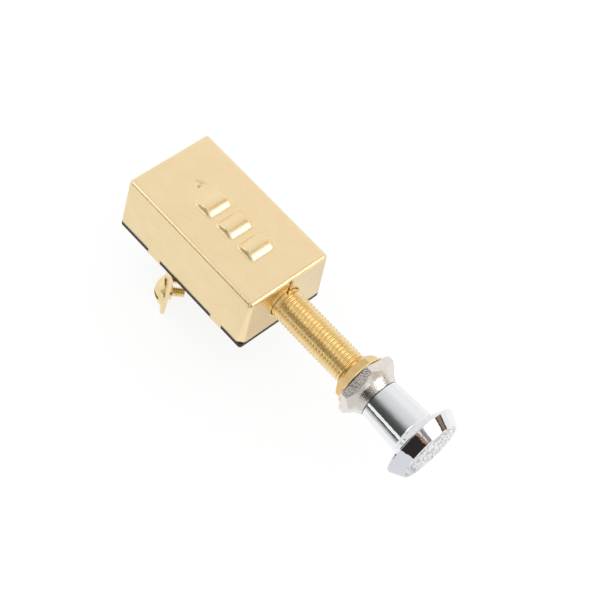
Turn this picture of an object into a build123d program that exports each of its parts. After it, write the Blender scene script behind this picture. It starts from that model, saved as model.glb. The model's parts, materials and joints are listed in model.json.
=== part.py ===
from build123d import *
from math import cos, radians, sin
import os

# Three-position push-pull switch for a panel. Millimetres.
# X runs along the stem towards the knob, Y across the case, Z up through its embossed top.
# The origin is where the stem's axis leaves the case, at the foot of the front wall.

# Case, drawn from sheet. Its walls lean inwards a little towards the top
sheet = 0.8
case_length = 57.8
case_near = 16.5
case_far = 17.1
case_top = 11.2
case_bottom = -9.8
wall_draft = 0.55
far_draft = 1.15
front_draft = 0.25
corner_radius_top = 1.2
corner_radius_bottom = 1.0
soft_corner_radius = 2.2
bend_radius = 1.1

# Raised detent humps in the top of the case, and the three-sided dimple behind them
hump_count = 3
hump_pitch = 9.8
rear_hump_x = -35.5
hump_length = 7.5
hump_width = 9.4
hump_height = 1.45
hump_far_radius = 1.1
hump_near_radius = 0.5
hump_foot_radius = 0.5
dimple_x = -43.6
dimple_y = 1.0
dimple_radius = 2.1
dimple_depth = 1.1
dimple_point = 0.15

# Slit in the front wall over the stem
slit_width = 1.1
slit_low = 5.2
slit_high = 10.4
slit_y = 0.4

# Crimp tabs that fold under the board
crimp_fold = 2.2
crimp_spans = ((-44.2, -38.4), (-14.2, -9.1))
notch_clearance = 0.12

# Insulating board that closes the case
board_thickness = 1.6
board_corner_radius = 1.0

# Stem, which is also the shaft's bearing. It is plain at its thread's major diameter
stem_radius = 5.555
stem_end = 41.2
stem_chamfer = 0.6
stem_hole_clearance = 0.12
stem_flange_radius = 7.4
stem_flange_thickness = 1.8
thread_clearance = 0.03

# Back nut, washer and face nut
back_nut_start = 30.5
back_nut_thickness = 3.6
back_nut_flats = 14.3
back_nut_rear_radius = 6.2
back_nut_chamfer_length = 1.5
back_nut_corner_angle = 20.0
washer_thickness = 0.65
washer_radius = 9.2
panel_play = 0.45
face_nut_flats = 19.05
face_nut_length = 7.0
face_nut_hex_length = 2.1
face_nut_shoulder_length = 2.2
face_nut_shoulder_radius = 8.4
face_nut_collar_radius = 6.95
face_nut_corner_angle = 39.0
nut_edge = 0.35

# Shaft
shaft_radius = 3.15
shaft_clearance = 0.05
shaft_tail_radius = 2.4
tail_clearance = 0.02
shaft_travel_step = hump_pitch
shaft_grip_depth = 15.0

# Knob
knob_gap = 0.3
knob_neck_radius = 6.85
knob_waist_radius = 7.2
knob_waist_from_end = 6.4
knob_root_radius = 7.7
knob_shank_length = 14.6
knob_flange_radius = 12.95
knob_back_cone = 2.6
knob_rim = 0.5
knob_bevel = 4.2
knob_face_radius = 10.8
knob_fillet = 1.0

# Carriage, the moulded slider that the shaft pushes and pulls
carriage_front_gap = 0.3
carriage_tail = 9.0
carriage_core_width = 17.8
carriage_side_clearance = 0.45
carriage_low = -4.5
carriage_high = 7.0
shoe_length = 6.0
shoe_high = 3.0
cheek_thickness = 2.2
cheek_drop = 3.8
clip_thickness = 0.6
clip_radius = 4.4
clip_groove_depth = 0.7
tail_washer_thickness = 0.7
tail_washer_radius = 5.0
tail_end_length = 1.4

# Detent: a roller in a sprung follower, pressed up against the case
roller_radius = 3.0
roller_length = 7.2
roller_top_clearance = 0.1
roller_side_clearance = 0.05
follower_length = 8.0
follower_width = 13.6
follower_low = 3.4
follower_high = 8.5
follower_clearance = 0.15
detent_spring_y = 5.0
detent_spring_radius = 1.7
detent_spring_seat = -0.9
detent_wire = 0.5
detent_turns = 4
spring_hole_clearance = 0.25

# Contacts: a rail on the near side and two plates on the far side
contact_thickness = 0.8
contact_inner_y = 4.6
contact_outer_y = 13.6
contact_corner_radius = 1.0
rail_span = (-47.0, -9.0)
first_span = (-33.2, -22.0)
second_span = (-20.2, -9.0)
off_pad_span = (-38.6, -33.7)

# Bridge that joins them, with two contact buttons and two springs
bridge_length = 6.0
bridge_thickness = 1.2
bridge_reach = 8.7
button_y = 6.8
button_radius = 1.7
button_height = 0.8
button_lift = 0.05
bridge_clearance = 0.2
bridge_spring_radius = 1.9
bridge_spring_seat = -2.2
bridge_wire = 0.55
bridge_turns = 4

# Rivets that hold the contacts and the terminals to the board
rivet_radius = 1.25
rivet_clearance = 0.02
rivet_head_radius = 1.9
rivet_head_height = 0.8
rivet_y = 11.3
rail_rivet_x = -20.0
common_x = -31.5
first_x = -31.0
second_x = -18.0

# Terminals: bent brackets that face outwards, each with a slotted screw in a tapped neck
bracket_thickness = 1.2
bracket_width = 9.0
bracket_foot = 8.6
bracket_drop = 20.1
bracket_corner_radius = 1.4
bracket_bend_radius = 0.5
bracket_plan_angle = 49.0
bracket_to_rivet = 4.0
bracket_lean = 3.0
neck_radius = 2.7
neck_length = 1.3
screw_drop = 12.3
screw_radius = 1.75
screw_length = 6.7
screw_head_radius = 4.9
screw_head_height = 3.0
screw_head_rim = 0.45
screw_slot_width = 1.1
screw_slot_depth = 1.3
screw_slot_angle = 84.0

# Sizes that follow from those above
board_low = case_bottom - board_thickness
washer_start = back_nut_start + back_nut_thickness
face_nut_start = washer_start + washer_thickness + panel_play
face_nut_end = face_nut_start + face_nut_length
knob_start = face_nut_end + knob_gap
knob_flange_start = knob_start + knob_shank_length
travel = (hump_count - 1) * shaft_travel_step
hump_places = [rear_hump_x + step * hump_pitch for step in range(hump_count)]
stem_flange_back = -sheet - front_draft - stem_flange_thickness
carriage_front = stem_flange_back - carriage_front_gap - travel
carriage_back = rear_hump_x - carriage_tail
roller_z = case_top - sheet - roller_top_clearance - roller_radius
contact_high = case_bottom + contact_thickness
button_low = contact_high + button_lift
bridge_low = button_low + button_height
bridge_high = bridge_low + bridge_thickness
follower_rise = hump_height - roller_top_clearance


def rod(radius, start, end):
    """A round bar along X."""
    axis = Plane(origin=(start, 0, 0), z_dir=(1, 0, 0), x_dir=(0, 1, 0))
    return extrude(axis * Circle(radius), end - start)


def block(x_span, y_span, z_span):
    """A rectangular block between three pairs of limits."""
    size = [high - low for low, high in (x_span, y_span, z_span)]
    middle = [(high + low) / 2 for low, high in (x_span, y_span, z_span)]
    return Pos(*middle) * Box(*size)


def turned(points):
    """A solid turned about the X axis from (x, radius) points."""
    outline = Polyline(*[(x, 0, radius) for x, radius in points], close=True)
    return revolve(make_face(outline), Axis.X)


def upright(radius, x, y, low, high):
    """A round bar along Z."""
    return Pos(x, y, low) * extrude(Circle(radius), high - low)


def hexagon_bar(flats, corner_angle, start, end):
    """A hexagonal bar along X, with one corner at an angle from Y."""
    corner_radius = flats / 2 / cos(radians(30))
    section = RegularPolygon(corner_radius, 6, rotation=corner_angle)
    axis = Plane(origin=(start, 0, 0), z_dir=(1, 0, 0), x_dir=(0, 1, 0))
    return extrude(axis * section, end - start)


def case_outline(level, inset, leans, soft_radius, radius):
    """The case's outline at one level. Its near front corner is softer than the rest."""
    front_lean, side_lean, far_lean = leans
    near = -case_near + side_lean + inset
    far = case_far - far_lean - inset
    front = -front_lean - inset
    rear = -case_length + side_lean + inset
    outline = Pos((front + rear) / 2, (near + far) / 2) * Rectangle(front - rear, far - near)
    outline = fillet(outline.vertices().sort_by(lambda corner: corner.X - corner.Y)[-1], soft_radius)
    sharp = outline.vertices().sort_by(lambda corner: corner.X - corner.Y)[:3]
    return Pos(0, 0, level) * fillet(sharp, radius)


def drawn_box(inset, top, edge_radius):
    """The case's drafted box, inset by a sheet thickness for its hollow."""
    soft_radius = soft_corner_radius - inset
    lower = case_outline(case_bottom, inset, (0, 0, 0), soft_radius, corner_radius_bottom - inset)
    leans = (front_draft, wall_draft, far_draft)
    upper = case_outline(top, inset, leans, corner_radius_top - inset, corner_radius_top - inset)
    body = loft([lower, upper])
    return fillet(body.edges().group_by(Axis.Z)[-1], edge_radius)


def hump(x, growth):
    """One hump over the top of the case, or with a negative growth the hollow under it."""
    outer_radius = (hump_length**2 / 4 + hump_height**2) / (2 * hump_height)
    centre = case_top + hump_height - outer_radius
    barrel_plane = Plane(origin=(x, -hump_width / 2 - growth, centre), z_dir=(0, 1, 0), x_dir=(1, 0, 0))
    barrel = extrude(barrel_plane * Circle(outer_radius + growth), hump_width + 2 * growth)
    rims = barrel.edges().filter_by(GeomType.CIRCLE).sort_by(Axis.Y)
    barrel = fillet(rims[-1], max(hump_far_radius + growth, hump_far_radius / 4))
    rims = barrel.edges().filter_by(GeomType.CIRCLE).sort_by(Axis.Y)
    barrel = fillet(rims[0], max(hump_near_radius + growth, hump_near_radius / 2))
    floor = case_top - sheet / 2 + min(growth, 0)
    return barrel & block((x - hump_length, x + hump_length), (-hump_width, hump_width), (floor, case_top + 5))


def dimple(lift):
    """The three-sided dimple, moved by a lift for its mark on the sheet's other side."""
    middle = Pos(dimple_x, dimple_y, case_top + lift)
    mouth = middle * RegularPolygon(dimple_radius, 3, rotation=180)
    point = middle * Pos(0, 0, -dimple_depth) * RegularPolygon(dimple_point, 3, rotation=180)
    return loft([mouth, point])


def crimp(x_span, side):
    """One crimp tab, down past the board's edge and folded under it."""
    outside = case_far if side > 0 else case_near
    inside = outside - sheet
    down = block(x_span, (inside, outside), (board_low - sheet, case_bottom + 0.4))
    under = block(x_span, (inside - crimp_fold, outside), (board_low - sheet, board_low))
    tab = down + under
    corner = tab.edges().filter_by(Axis.X).group_by(Axis.Z)[0].sort_by(Axis.Y)[-1]
    tab = fillet(corner, sheet * 0.9)
    return tab if side > 0 else mirror(tab, Plane.XZ)


def make_case_shell():
    """The drawn cover: box, humps, dimple, stem hole, slit and crimp tabs."""
    hollow = drawn_box(sheet, case_top - sheet, bend_radius - sheet)
    cover = drawn_box(0, case_top, bend_radius)
    for x in hump_places:
        cover += hump(x, 0)
    half_row = (hump_count * hump_pitch + hump_length) / 2
    row_middle = sum(hump_places) / hump_count
    feet = cover.edges().filter_by(
        lambda edge: abs(edge.center().Z - case_top) < 0.001
        and abs(edge.center().X - row_middle) < half_row
        and abs(edge.center().Y) < hump_width
    )
    cover = fillet(feet, hump_foot_radius) - hollow
    for x in hump_places:
        cover -= hump(x, -sheet)
    cover += dimple(-sheet)
    cover -= dimple(0)
    cover -= rod(stem_radius + stem_hole_clearance, -6, 2)
    cover -= block((-6, 2), (slit_y - slit_width / 2, slit_y + slit_width / 2), (slit_low, slit_high))
    for x_span in crimp_spans:
        cover += crimp(x_span, 1)
        cover += crimp(x_span, -1)
    return cover


def make_board():
    """The insulating board, notched for the crimp tabs and drilled for the rivets."""
    outline = case_outline(board_low, 0, (0, 0, 0), board_corner_radius, board_corner_radius)
    board = extrude(outline, board_thickness)
    board += block(off_pad_span, (contact_inner_y, contact_outer_y), (case_bottom - 0.5, contact_high))
    fold = sheet + notch_clearance
    near_notch = (-case_near - 1, -case_near + fold)
    far_notch = (case_far - fold, case_far + 1)
    for low, high in crimp_spans:
        x_span = (low - notch_clearance, high + notch_clearance)
        for y_span in (near_notch, far_notch):
            board -= block(x_span, y_span, (board_low - 1, case_bottom + 1))
    for x, y in rivet_places():
        board -= upright(rivet_radius + rivet_clearance, x, y, board_low - 1, case_bottom + 1)
    return board


def make_stem():
    """The stem: a bored and threaded bar with a flange drawn up against the front wall."""
    hollow = drawn_box(sheet, case_top - sheet, bend_radius - sheet)
    flange = rod(stem_flange_radius, stem_flange_back, 0) & hollow
    bar = rod(stem_radius, stem_flange_back, stem_end)
    bar = chamfer(bar.edges().group_by(Axis.X)[-1], stem_chamfer)
    return bar + flange - rod(shaft_radius + shaft_clearance, -20, stem_end + 1)


def make_back_nut():
    """The nut behind the panel, with a long chamfer on its back."""
    start, end = back_nut_start, back_nut_start + back_nut_thickness
    tip = back_nut_flats / 2 / cos(radians(30))
    bar = hexagon_bar(back_nut_flats, back_nut_corner_angle, start, end)
    envelope = turned(
        (
            (start, 0),
            (start, back_nut_rear_radius),
            (start + back_nut_chamfer_length, tip),
            (end - nut_edge, tip),
            (end, tip - nut_edge),
            (end, 0),
        )
    )
    return (bar & envelope) - rod(stem_radius + thread_clearance, start - 1, end + 1)


def make_washer():
    """The plain washer between the back nut and the panel."""
    disc = rod(washer_radius, washer_start, washer_start + washer_thickness)
    return disc - rod(stem_radius + stem_hole_clearance, washer_start - 1, washer_start + 2)


def make_face_nut():
    """The nut in front of the panel: a short hexagon that necks down to a round collar."""
    start, end = face_nut_start, face_nut_end
    tip = face_nut_flats / 2 / cos(radians(30))
    shoulder = start + face_nut_hex_length + face_nut_shoulder_length
    bar = hexagon_bar(face_nut_flats, face_nut_corner_angle, start, end)
    envelope = turned(
        (
            (start, 0),
            (start, tip - nut_edge),
            (start + nut_edge, tip),
            (start + face_nut_hex_length, tip),
            (shoulder, face_nut_shoulder_radius),
            (end, face_nut_collar_radius),
            (end, 0),
        )
    )
    inner_corner = envelope.edges().filter_by(GeomType.CIRCLE).filter_by(
        lambda edge: abs(edge.center().X - shoulder) < 0.01
    )
    envelope = fillet(inner_corner, face_nut_shoulder_length * 0.6)
    return (bar & envelope) - rod(stem_radius + thread_clearance, start - 1, end + 1)


def make_shaft():
    """The shaft, with a thinner tail for the carriage and a groove for its clip."""
    groove = carriage_back - tail_washer_thickness - clip_thickness
    tail_end = groove - tail_end_length
    bar = rod(shaft_radius, carriage_front, knob_start + shaft_grip_depth)
    tail = rod(shaft_tail_radius, tail_end, carriage_front)
    tail -= rod(shaft_tail_radius + 1, groove, groove + clip_thickness) - rod(
        shaft_tail_radius - clip_groove_depth, groove, groove + clip_thickness
    )
    shaft = bar + tail
    ends = shaft.edges().group_by(Axis.X)
    return chamfer([*ends[0], *ends[-1]], 0.4)


def make_knob():
    """The knob: a shank that flares to a wide flange with a bevelled front."""
    flare_points = [
        (knob_start, knob_neck_radius),
        (knob_start + knob_waist_from_end, knob_waist_radius),
        (knob_flange_start, knob_root_radius),
    ]
    rim_start = knob_flange_start + knob_back_cone
    rim_end = rim_start + knob_rim
    face = rim_end + knob_bevel
    to_plane = [(x, 0, radius) for x, radius in flare_points]
    outline = Spline(*to_plane) + Polyline(
        (knob_flange_start, 0, knob_root_radius),
        (rim_start, 0, knob_flange_radius),
        (rim_end, 0, knob_flange_radius),
        (face, 0, knob_face_radius),
        (face, 0, 0),
        (knob_start, 0, 0),
        (knob_start, 0, knob_neck_radius),
    )
    body = revolve(make_face(outline), Axis.X)
    root = body.edges().filter_by(GeomType.CIRCLE).filter_by(
        lambda edge: abs(edge.center().X - knob_flange_start) < 0.01
    )
    body = fillet(root, knob_fillet)
    rim = body.edges().filter_by(GeomType.CIRCLE).filter_by(
        lambda edge: edge.radius > knob_flange_radius - 0.01
    )
    body = fillet(rim, knob_rim * 0.45)
    return body - rod(shaft_radius + tail_clearance, knob_start - 1, knob_start + shaft_grip_depth + 0.4)


def make_carriage():
    """The slider: a block on the shaft's tail, guided by shoes along the case's side walls."""
    half_core = carriage_core_width / 2
    inner_wall = case_near - sheet - wall_draft
    half_wide = inner_wall - carriage_side_clearance
    back, front = carriage_back, carriage_front
    core = block((back, front), (-half_core, half_core), (carriage_low, carriage_high))
    core = fillet(core.edges().filter_by(Axis.X).group_by(Axis.Z)[-1], 1.0)
    for x_span in ((back, back + shoe_length), (front - shoe_length, front)):
        shoe = block(x_span, (-half_wide, half_wide), (carriage_low, shoe_high))
        core += fillet(shoe.edges().filter_by(Axis.Z), 0.8)
    reach = bridge_length / 2 + bridge_clearance
    for x_span in ((-reach - cheek_thickness, -reach), (reach, reach + cheek_thickness)):
        cheek = block(x_span, (-half_core, half_core), (carriage_low - cheek_drop, carriage_low))
        core += Pos(rear_hump_x, 0, 0) * cheek
    core -= rod(shaft_tail_radius + tail_clearance, back - 1, front + 1)
    pocket_x = follower_length / 2 + follower_clearance
    pocket_y = follower_width / 2 + follower_clearance
    core -= Pos(rear_hump_x, 0, 0) * block(
        (-pocket_x, pocket_x),
        (-pocket_y, pocket_y),
        (follower_low - follower_clearance, carriage_high + 1),
    )
    for side in (-1, 1):
        core -= upright(
            detent_spring_radius + spring_hole_clearance,
            rear_hump_x,
            side * detent_spring_y,
            detent_spring_seat,
            follower_low,
        )
        core -= upright(
            bridge_spring_radius + spring_hole_clearance,
            rear_hump_x,
            side * button_y,
            carriage_low - 1,
            bridge_spring_seat,
        )
    return core


def make_tail_washer():
    """The washer behind the carriage."""
    back = carriage_back - tail_washer_thickness
    disc = rod(tail_washer_radius, back, carriage_back)
    return disc - rod(shaft_tail_radius + tail_clearance, back - 1, carriage_back + 1)


def make_clip():
    """The open clip that snaps into the tail's groove from below."""
    back = carriage_back - tail_washer_thickness - clip_thickness
    disc = rod(clip_radius, back, back + clip_thickness)
    seat = shaft_tail_radius - clip_groove_depth + tail_clearance
    disc -= rod(seat, back - 1, back + 2)
    return disc - block((back - 1, back + 2), (-seat * 0.85, seat * 0.85), (-clip_radius - 1, 0))


def make_follower():
    """The saddle that carries the roller in the carriage's pocket."""
    half_x = follower_length / 2
    half_y = follower_width / 2
    body = block((-half_x, half_x), (-half_y, half_y), (follower_low, follower_high))
    body = Pos(rear_hump_x, 0, 0) * fillet(body.edges().filter_by(Axis.Z), 0.6)
    groove = roller(roller_side_clearance, roller_length / 2 + roller_side_clearance)
    lift_out = Pos(rear_hump_x, 0, 0) * block(
        (-roller_radius - roller_side_clearance, roller_radius + roller_side_clearance),
        (-roller_length / 2 - roller_side_clearance, roller_length / 2 + roller_side_clearance),
        (roller_z, follower_high + 1),
    )
    return body - groove - lift_out


def roller(growth, half_length):
    """A bar across the case at the roller's place."""
    plane = Plane(origin=(rear_hump_x, -half_length, roller_z), z_dir=(0, 1, 0), x_dir=(1, 0, 0))
    return extrude(plane * Circle(roller_radius + growth), 2 * half_length)


def make_roller():
    """The detent roller."""
    body = roller(0, roller_length / 2)
    return chamfer(body.edges().filter_by(GeomType.CIRCLE), 0.3)


def coil_spring(x, y, low, high, coil_radius, wire, turns):
    """A round-wire coil spring that stands on Z between two seats."""
    height = high - low - wire
    mean_radius = coil_radius - wire / 2
    path = Helix(height / turns, height, mean_radius)
    start = path @ 0
    section = Plane(origin=start, z_dir=path % 0) * Circle(wire / 2)
    return Pos(x, y, low + wire / 2) * sweep(section, path=path)


def contact_plate(x_span, side, rivets):
    """A flat contact on the board, drilled for its rivets."""
    middle_x = (x_span[0] + x_span[1]) / 2
    middle_y = side * (contact_inner_y + contact_outer_y) / 2
    outline = Pos(middle_x, middle_y) * RectangleRounded(
        x_span[1] - x_span[0], contact_outer_y - contact_inner_y, contact_corner_radius
    )
    plate = Pos(0, 0, case_bottom) * extrude(outline, contact_thickness)
    for x in rivets:
        hole = upright(rivet_radius + rivet_clearance, x, side * rivet_y, case_bottom - 1, contact_high + 1)
        plate -= hole
    return plate


def rivet_places():
    """Every rivet's place on the board."""
    return (
        (common_x, -rivet_y),
        (rail_rivet_x, -rivet_y),
        (first_x, rivet_y),
        (second_x, rivet_y),
    )


def rivet(x, y, low):
    """A rivet from the contact's top to a lower face, with a low domed head at each end."""
    shank = upright(rivet_radius, x, y, low, contact_high)
    upper = upright(rivet_head_radius, x, y, contact_high, contact_high + rivet_head_height)
    lower = upright(rivet_head_radius, x, y, low - rivet_head_height, low)
    upper = fillet(upper.edges().group_by(Axis.Z)[-1], rivet_head_height * 0.8)
    lower = fillet(lower.edges().group_by(Axis.Z)[0], rivet_head_height * 0.8)
    return upper + shank + lower


def terminal_frame(x, side):
    """The frame of one terminal: origin at its rivet, X from the tab towards the rivet."""
    angle = radians(bracket_plan_angle)
    inwards = (cos(angle), -side * sin(angle), 0)
    return Plane(origin=(x, side * rivet_y, board_low), x_dir=inwards, z_dir=(0, 0, 1))


def leaned(shape):
    """Tip a terminal's leg, or its screw, outwards about the bracket's bend."""
    outer = bracket_to_rivet + bracket_thickness
    return Pos(-outer, 0, 0) * Rot(0, bracket_lean, 0) * Pos(outer, 0, 0) * shape


def make_terminal(x, side):
    """A bent bracket with a rounded end and a tapped neck for the screw."""
    half = bracket_width / 2
    outer = -bracket_to_rivet - bracket_thickness
    foot = block((outer, outer + bracket_foot), (-half, half), (-bracket_thickness, 0))
    leg = block((outer, outer + bracket_thickness), (-half, half), (-bracket_drop, 0))
    leg = fillet(leg.edges().filter_by(Axis.X).group_by(Axis.Z)[0], bracket_corner_radius)
    bracket = foot + leaned(leg)
    outer_bend = bracket.edges().filter_by(Axis.Y).group_by(Axis.Z)[-1].sort_by(Axis.X)[0]
    bracket = fillet(outer_bend, bracket_bend_radius + bracket_thickness * 0.5)
    foot_ends = bracket.edges().filter_by(Axis.Z).group_by(Axis.X)[-1]
    bracket = fillet(foot_ends, bracket_corner_radius)
    neck_start = outer + bracket_thickness
    neck_end = neck_start + neck_length
    neck = Pos(0, 0, -screw_drop) * rod(neck_radius, neck_start, neck_end)
    bore = Pos(0, 0, -screw_drop) * rod(screw_radius + thread_clearance, outer - 1, neck_end + 1)
    rivet_hole = upright(rivet_radius + rivet_clearance, 0, 0, -bracket_thickness - 1, 1)
    return terminal_frame(x, side) * (bracket + leaned(neck) - leaned(bore) - rivet_hole)


def make_terminal_screw(x, side):
    """A slotted screw with a broad low head, run into the bracket's neck."""
    seat = -bracket_to_rivet - bracket_thickness
    apex = seat - screw_head_height
    rim = seat - screw_head_rim
    dome = ThreePointArc(
        (rim, 0, screw_head_radius),
        (apex + screw_head_height * 0.24, 0, screw_head_radius * 0.55),
        (apex, 0, 0),
    )
    edge = Polyline((apex, 0, 0), (seat, 0, 0), (seat, 0, screw_head_radius), (rim, 0, screw_head_radius))
    head = revolve(make_face(dome + edge), Axis.X)
    slot = block(
        (apex - 1, apex + screw_slot_depth),
        (-screw_slot_width / 2, screw_slot_width / 2),
        (-screw_head_radius - 1, screw_head_radius + 1),
    )
    head -= Rot(screw_slot_angle, 0, 0) * slot
    shank = rod(screw_radius, seat, seat + screw_length)
    shank = chamfer(shank.edges().group_by(Axis.X)[-1], 0.3)
    return terminal_frame(x, side) * leaned(Pos(0, 0, -screw_drop) * (head + shank))


def make_bridge():
    """The bar that joins the rail to one of the two plates."""
    outline = Pos(rear_hump_x, 0) * RectangleRounded(bridge_length, 2 * bridge_reach, 1.2)
    bar = Pos(0, 0, bridge_low) * extrude(outline, bridge_thickness)
    return fillet(bar.edges().group_by(Axis.Z)[-1], 0.25)


def make_buttons():
    """The two contact buttons under the bridge."""
    buttons = []
    for side in (-1, 1):
        button = upright(button_radius, rear_hump_x, side * button_y, button_low, bridge_low)
        buttons.append(chamfer(button.edges().group_by(Axis.Z)[0], 0.3))
    return Compound(buttons)


def detent_spring(side):
    """A spring under the follower."""
    return coil_spring(
        rear_hump_x,
        side * detent_spring_y,
        detent_spring_seat,
        follower_low,
        detent_spring_radius,
        detent_wire,
        detent_turns,
    )


def bridge_spring(side):
    """A spring over the bridge."""
    return coil_spring(
        rear_hump_x,
        side * button_y,
        bridge_high,
        bridge_spring_seat,
        bridge_spring_radius,
        bridge_wire,
        bridge_turns,
    )


bracket_low = board_low - bracket_thickness
parts = {
    "case_shell": make_case_shell(),
    "terminal_board": make_board(),
    "stem": make_stem(),
    "back_nut": make_back_nut(),
    "panel_washer": make_washer(),
    "face_nut": make_face_nut(),
    "common_rail": contact_plate(rail_span, -1, (common_x, rail_rivet_x)),
    "first_contact": contact_plate(first_span, 1, (first_x,)),
    "second_contact": contact_plate(second_span, 1, (second_x,)),
    "common_rivet": rivet(common_x, -rivet_y, bracket_low),
    "rail_rivet": rivet(rail_rivet_x, -rivet_y, board_low),
    "first_rivet": rivet(first_x, rivet_y, bracket_low),
    "second_rivet": rivet(second_x, rivet_y, bracket_low),
    "knob": make_knob(),
    "shaft": make_shaft(),
    "carriage": make_carriage(),
    "tail_washer": make_tail_washer(),
    "tail_clip": make_clip(),
    "contact_bridge": make_bridge(),
    "bridge_buttons": make_buttons(),
    "bridge_spring_near": bridge_spring(-1),
    "bridge_spring_far": bridge_spring(1),
    "detent_follower": make_follower(),
    "detent_roller": make_roller(),
    "detent_spring_near": detent_spring(-1),
    "detent_spring_far": detent_spring(1),
}
for name, x, side in (("common", common_x, -1), ("first", first_x, 1), ("second", second_x, 1)):
    parts[f"{name}_terminal"] = make_terminal(x, side)
    parts[f"{name}_terminal_screw"] = make_terminal_screw(x, side)

os.makedirs("parts", exist_ok=True)
for name, shape in parts.items():
    export_step(shape, f"parts/{name}.step")
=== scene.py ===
"""The push-pull switch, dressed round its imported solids: threads, finishes, camera, studio.

Lengths are in metres and angles in degrees.
"""

import json
from math import cos, pi, radians, sin

import bmesh
import bpy
from mathutils import Matrix, Quaternion, Vector


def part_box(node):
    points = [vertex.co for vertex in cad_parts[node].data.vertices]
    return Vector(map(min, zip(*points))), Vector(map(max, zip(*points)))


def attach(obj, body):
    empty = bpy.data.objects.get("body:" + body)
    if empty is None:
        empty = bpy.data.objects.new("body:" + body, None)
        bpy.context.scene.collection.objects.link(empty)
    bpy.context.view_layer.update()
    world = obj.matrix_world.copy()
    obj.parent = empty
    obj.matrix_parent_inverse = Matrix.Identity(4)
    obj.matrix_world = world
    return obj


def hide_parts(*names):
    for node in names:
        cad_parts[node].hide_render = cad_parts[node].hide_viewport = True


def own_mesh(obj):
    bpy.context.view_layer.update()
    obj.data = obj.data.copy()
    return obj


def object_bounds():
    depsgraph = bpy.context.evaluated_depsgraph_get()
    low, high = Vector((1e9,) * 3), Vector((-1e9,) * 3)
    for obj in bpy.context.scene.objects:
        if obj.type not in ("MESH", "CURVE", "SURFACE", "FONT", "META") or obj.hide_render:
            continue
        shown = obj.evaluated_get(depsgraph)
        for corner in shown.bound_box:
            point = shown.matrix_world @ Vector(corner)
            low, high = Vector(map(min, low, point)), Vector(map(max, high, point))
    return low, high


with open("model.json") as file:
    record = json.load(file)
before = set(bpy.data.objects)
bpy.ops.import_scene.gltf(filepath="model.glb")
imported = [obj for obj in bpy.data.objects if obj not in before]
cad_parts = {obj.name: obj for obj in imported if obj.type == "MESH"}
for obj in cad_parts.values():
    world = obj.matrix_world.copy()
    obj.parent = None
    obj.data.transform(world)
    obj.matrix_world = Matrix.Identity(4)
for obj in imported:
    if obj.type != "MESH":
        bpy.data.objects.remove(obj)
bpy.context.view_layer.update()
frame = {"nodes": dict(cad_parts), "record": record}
MM = 0.001

# Camera, placed as the photograph was taken
CAMERA_PLACE = Vector((151.4, -228.6, 404.0)) * MM
CAMERA_TARGET = Vector((2.3, 4.2, 0.0)) * MM
CAMERA_ROLL = 17.83
CAMERA_LENS = 95.9
CAMERA_SENSOR = 36
CAMERA_CLIP = 10 * MM

# Threads. The depth is a share of the pitch, a little under a standard thread's 0.61, because
# the crests and roots are rounded. The samples are profile points in one pitch
THREAD_DEPTH_SHARE = 0.52
STEM_PITCH = 1.27 * MM
STEM_SAMPLES = 16
SCREW_PITCH = 0.794 * MM
SCREW_SAMPLES = 10

# Stem, as in the part's source, with a neck before the thread, which starts a hair after it
STEM_RADIUS = 5.555 * MM
STEM_END = 41.2 * MM
STEM_BORE = 3.2 * MM
STEM_CHAMFER = 0.6 * MM
STEM_NECK_END = 0.9 * MM
STEM_NECK_RADIUS = 0.97 * STEM_RADIUS
RUN_IN_RADIUS = 0.9 * STEM_RADIUS
HAIR = 0.01 * MM
FLANGE_RADIUS = 7.4 * MM
FLANGE_BACK = -2.85 * MM
FLANGE_FRONT = -1.3 * MM

# Panel washer, with each rim rounded by a share of its thickness
WASHER_BORE = 5.71 * MM
WASHER_ROUND_SHARE = 0.46
WASHER_ROUND_STEPS = 8

# Terminals, as in the part's source
BOARD_LOW = -11.4 * MM
RIVET_Y = 11.3 * MM
TERMINALS = {"common": (-31.5 * MM, -1), "first": (-31.0 * MM, 1), "second": (-18.0 * MM, 1)}
BRACKET_PLAN_ANGLE = 49.0
BRACKET_LEAN = 3.0
BRACKET_TO_RIVET = 4.0 * MM
BRACKET_THICKNESS = 1.2 * MM
SCREW_DROP = 12.3 * MM
SCREW_RADIUS = 1.75 * MM
SCREW_LENGTH = 6.7 * MM

# How a screw's new shank meets the solid's own head
HEAD_CUT = 0.02 * MM
SHANK_START = 0.03 * MM
SHANK_SINK = -0.3 * MM
SHANK_NECK_RADIUS = 0.7 * SCREW_RADIUS
SHANK_CORE_RADIUS = 0.4 * SCREW_RADIUS
SHANK_AXIS_RADIUS = 0.001 * MM
SHANK_TIP = 0.35 * MM

# Rings round X: steps in a turn, and the angle from which an edge stays sharp
WIDE_STEPS = 96
NARROW_STEPS = 40
THREAD_SHARP = 60
WASHER_SHARP = 40

# Rounding that the drawn sheet shows beyond its own bends
CASE_SOFTNESS = 1.4 * MM
CASE_SOFTNESS_SAMPLES = 12

# Clouds of colour and of gloss: a noise's detail, and the part of its range that is spread out
TINT_DETAIL = 5
TINT_RANGE = (0.35, 0.65)
GLOSS_DETAIL = 4
GLOSS_RANGE = (0.3, 0.7)
RELIEF_DEPTH = 0.2 * MM

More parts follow.
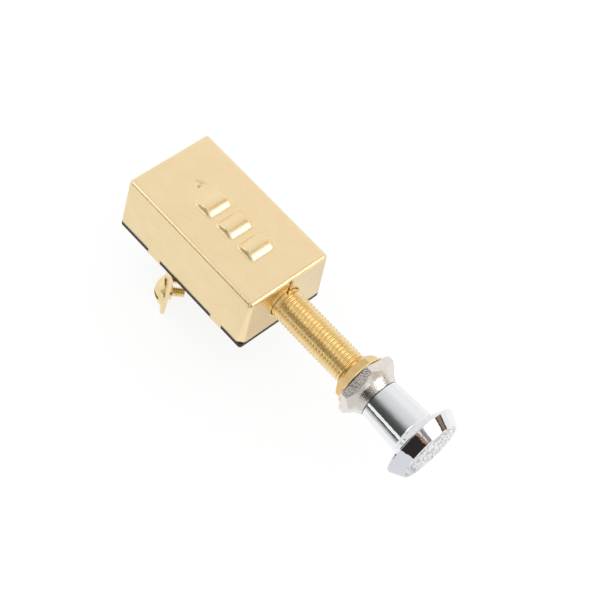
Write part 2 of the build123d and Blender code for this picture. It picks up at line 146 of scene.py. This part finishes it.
# Finishes by slot: name, colour, metal, roughness, then two tints and their scale, a range of
# roughness and its scale, and a fine relief's scale, detail and strength
DRAWN_SHEET = (
    (0.93, 0.74, 0.45), 1, 0.26,
    ((0.93, 0.735, 0.435), (0.96, 0.765, 0.47), 140), (0.22, 0.3, 260), (900, 6, 0.07),
)
FINISHES = {
    "pale_brass": ("drawn brass", *DRAWN_SHEET),
    "case_brass": ("drawn case", *DRAWN_SHEET, CASE_SOFTNESS),
    "deep_brass": (
        "turned brass", (0.86, 0.6, 0.27), 1, 0.2,
        ((0.82, 0.56, 0.24), (0.89, 0.64, 0.31), 300), (0.16, 0.3, 400), (2200, 3, 0.1),
    ),
    "cut_thread": (
        "cut thread", (0.93, 0.71, 0.38), 1, 0.2,
        ((0.9, 0.68, 0.34), (0.94, 0.76, 0.43), 400), (0.15, 0.27, 500), (2500, 3, 0.08),
    ),
    "screw_brass": (
        "screw brass", (0.92, 0.74, 0.41), 1, 0.2,
        ((0.89, 0.7, 0.36), (0.95, 0.78, 0.46), 500), (0.14, 0.28, 700), (2200, 3, 0.08),
    ),
    "nickel": (
        "nickel plate", (0.8, 0.75, 0.69), 1, 0.16,
        ((0.76, 0.71, 0.65), (0.83, 0.78, 0.72), 900), (0.14, 0.28, 500), (2400, 4, 0.45),
    ),
    "knob_chrome": ("chrome", (0.86, 0.87, 0.89), 1, 0.04),
    "steel": (
        "steel", (0.5, 0.51, 0.52), 1, 0.3,
        ((0.46, 0.47, 0.48), (0.56, 0.57, 0.58), 500), (0.22, 0.38, 600), (2000, 4, 0.15),
    ),
    "copper_strip": (
        "copper", (0.64, 0.3, 0.14), 1, 0.3,
        ((0.55, 0.25, 0.12), (0.72, 0.36, 0.18), 220), (0.24, 0.42, 400), (1500, 4, 0.12),
    ),
    "contact_silver": (
        "contact silver", (0.8, 0.79, 0.76), 1, 0.25,
        ((0.66, 0.64, 0.6), (0.84, 0.83, 0.8), 700), (0.2, 0.36, 900),
    ),
    "board_black": (
        "board", (0.035, 0.026, 0.018), 0, 0.45,
        ((0.026, 0.019, 0.013), (0.046, 0.034, 0.024), 500), (0.38, 0.55, 700), (900, 4, 0.15),
    ),
    "carriage_brown": (
        "phenolic", (0.08, 0.035, 0.018), 0, 0.4,
        ((0.05, 0.021, 0.01), (0.11, 0.05, 0.026), 900), (0.32, 0.5, 700), (1200, 4, 0.15),
    ),
}
BOARD_SPECULAR = 0.2

# Hammered face of the knob, with a colour for its high places and a painted shade for its low
# places, where shade falls, and the soft waves that polishing leaves on the chrome
KNOB_FACE_BACK = 64.35 * MM
STIPPLE_RADIUS = 10.3 * MM
STIPPLE_SCALE = 1150
STIPPLE_SMOOTHNESS = 0.4
STIPPLE_DEPTH = 0.5 * MM
STIPPLE_HIGH = (0.42, (0.86, 0.87, 0.89))
# Painted shade: the near-black colour that the hollows of the hammered face are painted with
STIPPLE_LOW_PAINTED_SHADE = (0.7, (0.2, 0.2, 0.21))
POLISH_SCALE = 380
POLISH_DETAIL = 2
POLISH_DEPTH = 0.12 * MM
POLISH_STRENGTH = 0.35

# Floor and world
FLOOR_GAP = 0.5 * MM
FLOOR_SIZE = 3.0
FLOOR_SHADE = 0.9
FLOOR_GLOW = 1.06
FLOOR_GLOW_SHARE = 0.8
FILL_LIGHT = 0.95

# A curved screen over the object, seen in reflections alone. Each row has its angle up from
# the near side and its shades at the places along X
CANOPY_RADIUS = 1.0
CANOPY_PLACES = (-0.8, -0.4, -0.33, -0.05, 0.03, 0.52)
CANOPY_ROWS = (
    (7, (0.5, 0.45, 0.07, 0.08, 0.7, 0.8)),
    (20, (0.5, 0.45, 0.07, 0.08, 0.75, 0.9)),
    (35, (0.6, 0.5, 0.1, 0.1, 0.75, 0.9)),
    (46, (2.0, 1.5, 0.2, 0.18, 0.75, 0.8)),
    (58, (2.6, 1.9, 0.48, 0.4, 0.75, 0.8)),
    (72, (1.5, 1.2, 0.68, 0.6, 0.75, 0.8)),
    (93, (0.72, 0.72, 0.78, 0.72, 0.78, 0.8)),
    (105, (0.82, 0.82, 0.8, 0.78, 0.8, 0.8)),
    (117, (0.92, 0.9, 0.88, 0.86, 0.86, 0.86)),
    (132, (0.96, 0.96, 0.95, 0.95, 0.95, 0.95)),
)

# Cards seen in reflections alone: name, centre, size, the way it faces, its colour and, on some,
# the colour that it fades to. A fade runs between two shares of the size, out from the centre.
# Cards at FLOOR_Z lie just over the floor
FADE_START = 0.2
FADE_END = 0.5
FLOOR_Z = -31.9 * MM
UP = (0, 0, 1)
CARDS = (
    ("near line", (-0.64, -0.98, 0.05), (0.54, 0.16), (0, 1, 0), (0.4, 0.27, 0.15)),
    (
        "front glow", (0.62, 0.36, 0.7), (0.74, 0.62), (-0.62, -0.36, -0.7),
        (3.7, 3.6, 3.5), (0.9, 0.88, 0.84),
    ),
    (
        "front dark", (0.1965, -0.136, 0.1142), (0.165, 0.225), (-0.6, 0.52, 0),
        (0.03, 0.026, 0.024),
    ),
    (
        "front brown", (0.189, -0.071, 0.1443), (0.125, 0.015), (-0.58, 0.26, -0.56),
        (0.4, 0.24, 0.16),
    ),
    (
        "front grey", (0.2215, -0.0185, 0.1842), (0.05, 0.1), (-0.7, 0.05, -0.71),
        (0.3, 0.28, 0.27), (0.62, 0.6, 0.58),
    ),
    ("far dark", (0.45, 0.65, 0.42), (0.2, 0.4), (-0.45, -0.65, -0.42), (0.1, 0.09, 0.08)),
    ("far brown", (0.43, 0.62, 0.4), (0.07, 0.4), (-0.43, -0.62, -0.4), (0.32, 0.2, 0.14)),
    (
        "top brown", (0.1, 0.45, 0.84), (0.3, 0.5), (-0.1, -0.45, -0.84),
        (0.6, 0.48, 0.34), (0.85, 0.8, 0.74),
    ),
    ("low strip", (0.88, 0.47, 0.13), (0.9, 0.26), (-0.88, -0.47, 0), (0.5, 0.38, 0.24)),
    ("floor line", (0.01, -0.16, FLOOR_Z), (0.08, 0.1), UP, (0.06, 0.06, 0.06)),
    ("floor shade", (0.01, -0.09, FLOOR_Z), (0.08, 0.03), UP, (0.3, 0.3, 0.3)),
    ("stem floor", (0.01, -0.06, FLOOR_Z), (0.08, 0.03), UP, (0.74, 0.73, 0.72)),
    ("floor grey", (0.55, -0.46, FLOOR_Z), (1.0, 0.94), UP, (0.76, 0.77, 0.8)),
    ("near floor", (-0.08, -0.055, FLOOR_Z), (0.15, 0.09), UP, (0.9, 0.9, 0.89)),
    (
        "stem shadow", (0.014, 0.006, FLOOR_Z), (0.03, 0.03), UP,
        (0.72, 0.68, 0.64), (0.84, 0.82, 0.8),
    ),
    (
        "far shadow", (0.016, 0.046, FLOOR_Z), (0.05, 0.05), UP,
        (0.8, 0.8, 0.82), (0.9, 0.9, 0.9),
    ),
)


def shader_of(material):
    """The one shader of a material."""
    return material.node_tree.nodes["Principled BSDF"]


def principled(name, color, metallic, roughness):
    """A plain material, with its colour and gloss set on the shader's own sockets."""
    material = bpy.data.materials.new(name)
    material.use_nodes = True
    shader = shader_of(material)
    shader.inputs["Base Color"].default_value = (*color, 1)
    shader.inputs["Metallic"].default_value = metallic
    shader.inputs["Roughness"].default_value = roughness
    return material


def object_noise(tree, scale, detail):
    """A noise laid out in the object's own space."""
    coordinates = tree.nodes.new("ShaderNodeTexCoord")
    noise = tree.nodes.new("ShaderNodeTexNoise")
    noise.inputs["Scale"].default_value = scale
    noise.inputs["Detail"].default_value = detail
    tree.links.new(coordinates.outputs["Object"], noise.inputs["Vector"])
    return noise.outputs["Fac"]


def blend_colors(tree, amount, low, high, interpolation="LINEAR"):
    """A ramp between two stops, each a position and a colour."""
    ramp = tree.nodes.new("ShaderNodeValToRGB")
    ramp.color_ramp.interpolation = interpolation
    for element, (position, color) in zip(ramp.color_ramp.elements, (low, high)):
        element.position = position
        element.color = (*color, 1)
    tree.links.new(amount, ramp.inputs["Fac"])
    return ramp.outputs["Color"]


def combine(tree, operation, first, second):
    """A math node, fed by sockets or plain numbers."""
    node = tree.nodes.new("ShaderNodeMath")
    node.operation = operation
    for socket, value in zip(node.inputs, (first, second)):
        if isinstance(value, (int, float)):
            socket.default_value = value
        else:
            tree.links.new(value, socket)
    return node.outputs[0]


def length_of(tree, vector):
    """The length of a vector socket."""
    node = tree.nodes.new("ShaderNodeVectorMath")
    node.operation = "LENGTH"
    tree.links.new(vector, node.inputs[0])
    return node.outputs["Value"]


def add_bump(tree, height, strength, depth, below=None):
    """A bump of a depth, over another's normal if there is one below it."""
    bump = tree.nodes.new("ShaderNodeBump")
    if isinstance(strength, (int, float)):
        bump.inputs["Strength"].default_value = strength
    else:
        tree.links.new(strength, bump.inputs["Strength"])
    bump.inputs["Distance"].default_value = depth
    tree.links.new(height, bump.inputs["Height"])
    if below:
        tree.links.new(below, bump.inputs["Normal"])
    return bump.outputs["Normal"]


def mottle(material, color_low, color_high, scale):
    """A cloudy change of colour between two tints."""
    tree = material.node_tree
    clouds = object_noise(tree, scale, TINT_DETAIL)
    low, high = zip(TINT_RANGE, (color_low, color_high))
    tree.links.new(blend_colors(tree, clouds, low, high), shader_of(material).inputs["Base Color"])


def rough_patches(material, low, high, scale):
    """A cloudy change of gloss between two values."""
    tree = material.node_tree
    spread = tree.nodes.new("ShaderNodeMapRange")
    names = ("From Min", "From Max", "To Min", "To Max")
    for name, value in zip(names, (*GLOSS_RANGE, low, high)):
        spread.inputs[name].default_value = value
    tree.links.new(object_noise(tree, scale, GLOSS_DETAIL), spread.inputs["Value"])
    tree.links.new(spread.outputs["Result"], shader_of(material).inputs["Roughness"])


def relief(material, scale, detail, strength, soften):
    """A fine uneven surface, with edges that look rounded by a radius if soften gives one."""
    tree = material.node_tree
    below = None
    if soften:
        rounding = tree.nodes.new("ShaderNodeBevel")
        rounding.samples = CASE_SOFTNESS_SAMPLES
        rounding.inputs["Radius"].default_value = soften
        below = rounding.outputs["Normal"]
    normal = add_bump(tree, object_noise(tree, scale, detail), strength, RELIEF_DEPTH, below)
    tree.links.new(normal, shader_of(material).inputs["Normal"])


def make_finish(name, color, metallic, roughness, tints=None, gloss=None, grain=None, soften=0):
    """A material, with what the finish has of clouded colour, clouded gloss and fine relief."""
    material = principled(name, color, metallic, roughness)
    if tints:
        mottle(material, *tints)
    if gloss:
        rough_patches(material, *gloss)
    if grain:
        relief(material, *grain, soften)
    return material


def stipple(material):
    """A coarse hammered relief on the knob's front face, painted shade in its hollows, polished
    waves all over.
    """
    tree = material.node_tree
    shader = shader_of(material)
    coordinates = tree.nodes.new("ShaderNodeTexCoord")
    grain = tree.nodes.new("ShaderNodeTexVoronoi")
    grain.feature = "SMOOTH_F1"
    grain.inputs["Scale"].default_value = STIPPLE_SCALE
    grain.inputs["Smoothness"].default_value = STIPPLE_SMOOTHNESS
    tree.links.new(coordinates.outputs["Object"], grain.inputs["Vector"])
    cells = grain.outputs["Distance"]
    place = tree.nodes.new("ShaderNodeSeparateXYZ")
    tree.links.new(coordinates.outputs["Object"], place.inputs[0])
    across = tree.nodes.new("ShaderNodeCombineXYZ")
    for axis in "YZ":
        tree.links.new(place.outputs[axis], across.inputs[axis])
    inside = combine(tree, "LESS_THAN", length_of(tree, across.outputs[0]), STIPPLE_RADIUS)
    ahead = combine(tree, "GREATER_THAN", place.outputs["X"], KNOB_FACE_BACK)
    on_face = combine(tree, "MULTIPLY", inside, ahead)
    waves = object_noise(tree, POLISH_SCALE, POLISH_DETAIL)
    polished = add_bump(tree, waves, POLISH_STRENGTH, POLISH_DEPTH)
    tree.links.new(add_bump(tree, cells, on_face, STIPPLE_DEPTH, polished), shader.inputs["Normal"])
    # Painted shade: the colour runs from the chrome of the high places to near black in the hollows
    # between the cells, standing in for the shade that falls there
    depth = combine(tree, "MULTIPLY", cells, on_face)
    color = blend_colors(tree, depth, STIPPLE_HIGH, STIPPLE_LOW_PAINTED_SHADE)
    tree.links.new(color, shader.inputs["Base Color"])


def paint(piece, material):
    """One finish all over a piece."""
    piece.data.materials.clear()
    piece.data.materials.append(material)


def place_new(name, data):
    """A new object in the scene."""
    piece = bpy.data.objects.new(name, data)
    bpy.context.scene.collection.objects.link(piece)
    return piece


def plain(radius):
    """A constant radius, for a ring's profile."""
    return lambda angle: radius


def thread_radius(place, radius, pitch):
    """The radius at a place along a turn of a thread with rounded crests and roots."""
    rise = 0.5 + 0.5 * cos(2 * pi * place / pitch)
    return radius - THREAD_DEPTH_SHARE * pitch * (1 - rise)


def threaded(x, radius, pitch, limit):
    """A radius that follows the helix, no more than a limit."""
    return lambda angle: min(thread_radius(x - pitch * angle / (2 * pi), radius, pitch), limit)


def threaded_run(start, end, radius, pitch, samples, limit_at):
    """Profile points along a thread, from start to end, with a number of samples a pitch."""
    count = int((end - start) / pitch * samples)
    points = []
    for i in range(count + 1):
        x = start + (end - start) * i / count
        points.append((x, threaded(x, radius, pitch, limit_at(x))))
    return points


def ring_mesh(name, profile, steps, smooth_angle):
    """A closed mesh swept round X from a closed loop of (x, radius-by-angle) points."""
    mesh = bmesh.new()
    rings = []
    for step in range(steps):
        angle = 2 * pi * step / steps
        across, up = cos(angle), sin(angle)
        rings.append(
            [mesh.verts.new((x, size(angle) * across, size(angle) * up)) for x, size in profile]
        )
    count = len(profile)
    for step in range(steps):
        here, there = rings[step], rings[(step + 1) % steps]
        for i in range(count):
            j = (i + 1) % count
            mesh.faces.new((here[i], here[j], there[j], there[i]))
    bmesh.ops.recalc_face_normals(mesh, faces=mesh.faces)
    data = bpy.data.meshes.new(name)
    mesh.to_mesh(data)
    mesh.free()
    data.shade_smooth()
    data.set_sharp_from_angle(angle=radians(smooth_angle))
    return place_new(name, data)


def make_stem():
    """The stem with its real thread, bore and flange."""
    flange = [
        (FLANGE_BACK, plain(STEM_BORE)),
        (FLANGE_BACK, plain(FLANGE_RADIUS)),
        (FLANGE_FRONT, plain(FLANGE_RADIUS)),
        (FLANGE_FRONT, plain(STEM_NECK_RADIUS)),
        (STEM_NECK_END, plain(STEM_NECK_RADIUS)),
    ]

    def limit_at(x):
        run_in = RUN_IN_RADIUS + (x - STEM_NECK_END)
        run_out = STEM_RADIUS - STEM_CHAMFER + (STEM_END - x)
        return min(STEM_RADIUS, run_in, run_out)

    start = STEM_NECK_END + HAIR
    thread = threaded_run(start, STEM_END, STEM_RADIUS, STEM_PITCH, STEM_SAMPLES, limit_at)
    profile = [*flange, *thread, (STEM_END, plain(STEM_BORE))]
    stem = ring_mesh("threaded_stem", profile, WIDE_STEPS, THREAD_SHARP)
    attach(stem, "housing")
    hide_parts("stem")
    return stem


def make_washer():
    """The panel washer with its edge rounded, as a stamped one has."""
    low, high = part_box("panel_washer")
    start, end, radius = low[0], high[0], high[2]
    rounding = (end - start) * WASHER_ROUND_SHARE
    points = [(start, plain(WASHER_BORE))]
    for step in range(WASHER_ROUND_STEPS + 1):
        angle = -pi / 2 + pi * step / WASHER_ROUND_STEPS
        middle = start + rounding if step < WASHER_ROUND_STEPS / 2 else end - rounding
        points.append((middle + rounding * sin(angle), plain(radius - rounding * (1 - cos(angle)))))
    points.append((end, plain(WASHER_BORE)))
    washer = ring_mesh("rounded_washer", points, WIDE_STEPS, WASHER_SHARP)
    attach(washer, "housing")
    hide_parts("panel_washer")
    return washer


def copy_node(node, name):
    """A new piece with a copy of a node's mesh."""
    return place_new(name, frame["nodes"][node].data.copy())


def make_pressed_spring(side):
    """A copy of a contact spring, with a mesh of its own, carried with the plunger."""
    node = f"bridge_spring_{side}"
    spring = copy_node(node, f"pressed_spring_{side}")
    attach(spring, "plunger")
    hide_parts(node)
    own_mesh(spring)
    return spring


def screw_matrix(x, side):
    """The place of a terminal screw: X from its head to its tip, origin in its seat's plane."""
    angle = radians(BRACKET_PLAN_ANGLE)
    inwards = Vector((cos(angle), -side * sin(angle), 0))
    across = Vector((0, 0, 1)).cross(inwards)
    turn = Matrix((inwards, across, (0, 0, 1))).transposed().to_4x4()
    rivet = Matrix.Translation((x, side * RIVET_Y, BOARD_LOW)) @ turn
    bend = Matrix.Translation((-BRACKET_TO_RIVET - BRACKET_THICKNESS, 0, 0))
    lean = Matrix.Rotation(radians(BRACKET_LEAN), 4, "Y")
    return rivet @ bend @ lean @ Matrix.Translation((0, 0, -SCREW_DROP))


def keep_head(data):
    """Cuts a screw's shank off its head, with the head's seat in the plane of X 0."""
    head = bmesh.new()
    head.from_mesh(data)
    bmesh.ops.bisect_plane(
        head,
        geom=[*head.verts, *head.edges, *head.faces],
        plane_co=(HEAD_CUT, 0, 0),
        plane_no=(1, 0, 0),
        clear_outer=True,
    )
    head.to_mesh(data)
    head.free()


def make_shank(name):
    """A threaded shank along X, from inside the head to its tip."""

    def limit_at(x):
        return min(SCREW_RADIUS, SCREW_RADIUS - SHANK_TIP + SCREW_LENGTH - x)

    run = threaded_run(
        SHANK_START, SCREW_LENGTH, SCREW_RADIUS, SCREW_PITCH, SCREW_SAMPLES, limit_at
    )
    profile = [
        (SHANK_SINK, plain(SHANK_CORE_RADIUS)),
        (SHANK_SINK, plain(SHANK_NECK_RADIUS)),
        *run,
        (SCREW_LENGTH, plain(SHANK_AXIS_RADIUS)),
        (SHANK_SINK, plain(SHANK_AXIS_RADIUS)),
    ]
    return ring_mesh(name, profile, NARROW_STEPS, THREAD_SHARP)


def make_screw(name, x, side):
    """A terminal screw: the solid's own head on a threaded shank."""
    node = f"{name}_terminal_screw"
    place = screw_matrix(x, side)
    screw = copy_node(node, f"{name}_threaded_screw")
    screw.data.transform(place.inverted())
    keep_head(screw.data)
    shank = make_shank(f"{name}_shank")
    mesh = bmesh.new()
    mesh.from_mesh(screw.data)
    mesh.from_mesh(shank.data)
    mesh.to_mesh(screw.data)
    mesh.free()
    bpy.data.objects.remove(shank)
    screw.data.transform(place)
    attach(screw, "housing")
    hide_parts(node)
    return screw


def add_camera():
    """The camera at the photograph's place, with its roll."""
    data = bpy.data.cameras.new("camera")
    data.lens = CAMERA_LENS
    data.sensor_width = CAMERA_SENSOR
    data.clip_start = CAMERA_CLIP
    camera = place_new("camera", data)
    aim = (CAMERA_TARGET - CAMERA_PLACE).to_track_quat("-Z", "Y")
    camera.rotation_mode = "QUATERNION"
    camera.rotation_quaternion = aim @ Quaternion((0, 0, 1), radians(CAMERA_ROLL))
    camera.location = CAMERA_PLACE
    bpy.context.scene.camera = camera


def add_world():
    """White for the camera, and a little less as fill light and in reflections."""
    world = bpy.data.worlds.new("studio")
    bpy.context.scene.world = world
    world.use_nodes = True
    tree = world.node_tree
    background = tree.nodes["Background"]
    background.inputs["Color"].default_value = (1, 1, 1, 1)
    path = tree.nodes.new("ShaderNodeLightPath")
    strength = tree.nodes.new("ShaderNodeMapRange")
    strength.inputs["To Min"].default_value = FILL_LIGHT
    strength.inputs["To Max"].default_value = 1.0
    tree.links.new(path.outputs["Is Camera Ray"], strength.inputs["Value"])
    tree.links.new(strength.outputs["Result"], background.inputs["Strength"])


def add_floor():
    """A floor just below the lowest terminal, white to the camera and in reflections.

    A share of its own shading stays, which keeps a faint shadow.
    """
    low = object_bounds()[0].z - FLOOR_GAP
    bpy.ops.mesh.primitive_plane_add(size=FLOOR_SIZE, location=(0, 0, low))
    floor = bpy.context.object
    floor.name = "floor"
    material = principled("floor", (FLOOR_SHADE,) * 3, 0, FLOOR_SHADE)
    shader = shader_of(material)
    shader.inputs["Specular IOR Level"].default_value = 0
    tree = material.node_tree
    path = tree.nodes.new("ShaderNodeLightPath")
    either = combine(tree, "MAXIMUM", path.outputs["Is Camera Ray"], path.outputs["Is Glossy Ray"])
    glow = tree.nodes.new("ShaderNodeEmission")
    glow.inputs["Strength"].default_value = FLOOR_GLOW
    mix = tree.nodes.new("ShaderNodeMixShader")
    tree.links.new(combine(tree, "MULTIPLY", either, FLOOR_GLOW_SHARE), mix.inputs[0])
    tree.links.new(shader.outputs[0], mix.inputs[1])
    tree.links.new(glow.outputs[0], mix.inputs[2])
    tree.links.new(mix.outputs[0], tree.nodes["Material Output"].inputs["Surface"])
    paint(floor, material)


def glowing(name):
    """A material of plain emission, with its tree and its glow."""
    material = bpy.data.materials.new(name)
    material.use_nodes = True
    tree = material.node_tree
    tree.nodes.remove(shader_of(material))
    glow = tree.nodes.new("ShaderNodeEmission")
    tree.links.new(glow.outputs[0], tree.nodes["Material Output"].inputs["Surface"])
    return material, tree, glow


def only_in_reflections(card):
    """Marks a studio piece that lights nothing and shows in glossy reflections alone."""
    card.visible_camera = False
    card.visible_diffuse = False
    card.visible_shadow = False


def add_card(name, centre, size, normal, color, edge=None):
    """A flat card of one colour, or one that fades to another colour at its edge."""
    bpy.ops.mesh.primitive_plane_add(size=1, location=centre)
    card = bpy.context.object
    card.name = name
    card.rotation_mode = "QUATERNION"
    card.rotation_quaternion = Vector(normal).to_track_quat("Z", "Y")
    card.scale = (*size, 1)
    material, tree, glow = glowing(name)
    glow.inputs["Color"].default_value = (*color, 1)
    if edge:
        coordinates = tree.nodes.new("ShaderNodeTexCoord")
        reach = length_of(tree, coordinates.outputs["Object"])
        fade = blend_colors(tree, reach, (FADE_START, color), (FADE_END, edge), "EASE")
        tree.links.new(fade, glow.inputs["Color"])
    paint(card, material)
    only_in_reflections(card)


def add_canopy(name, radius, places, rows):
    """A curved screen over the object, from near to far, with shades at places along X."""
    mesh = bmesh.new()
    layer = mesh.verts.layers.float.new("shade")
    edges = []
    for turn, shades in rows:
        angle = radians(turn)
        row = []
        for x, shade in zip(places, shades):
            vert = mesh.verts.new((x, -radius * cos(angle), radius * sin(angle)))
            vert[layer] = shade
            row.append(vert)
        edges.append(row)
    for here, there in zip(edges, edges[1:]):
        for i in range(len(places) - 1):
            mesh.faces.new((here[i], here[i + 1], there[i + 1], there[i]))
    data = bpy.data.meshes.new(name)
    mesh.to_mesh(data)
    mesh.free()
    material, tree, glow = glowing(name)
    shade = tree.nodes.new("ShaderNodeAttribute")
    shade.attribute_name = "shade"
    tree.links.new(shade.outputs["Fac"], glow.inputs["Strength"])
    canopy = place_new(name, data)
    paint(canopy, material)
    only_in_reflections(canopy)


materials = {slot: make_finish(*finish) for slot, finish in FINISHES.items()}
stipple(materials["knob_chrome"])
shader_of(materials["board_black"]).inputs["Specular IOR Level"].default_value = BOARD_SPECULAR

slots = {entry["node"]: entry["material_slot"] for entry in frame["record"]["subparts"]}
for node, piece in frame["nodes"].items():
    paint(piece, materials[slots[node]])
paint(frame["nodes"]["case_shell"], materials["case_brass"])
paint(make_stem(), materials["cut_thread"])
paint(make_washer(), materials["cut_thread"])
for name, (x, side) in TERMINALS.items():
    paint(make_screw(name, x, side), materials["screw_brass"])
for side in ("near", "far"):
    paint(make_pressed_spring(side), materials["steel"])

add_camera()
add_world()
add_floor()
add_canopy("room", CANOPY_RADIUS, CANOPY_PLACES, CANOPY_ROWS)
for card in CARDS:
    add_card(*card)

bpy.context.scene.view_settings.view_transform = "Standard"
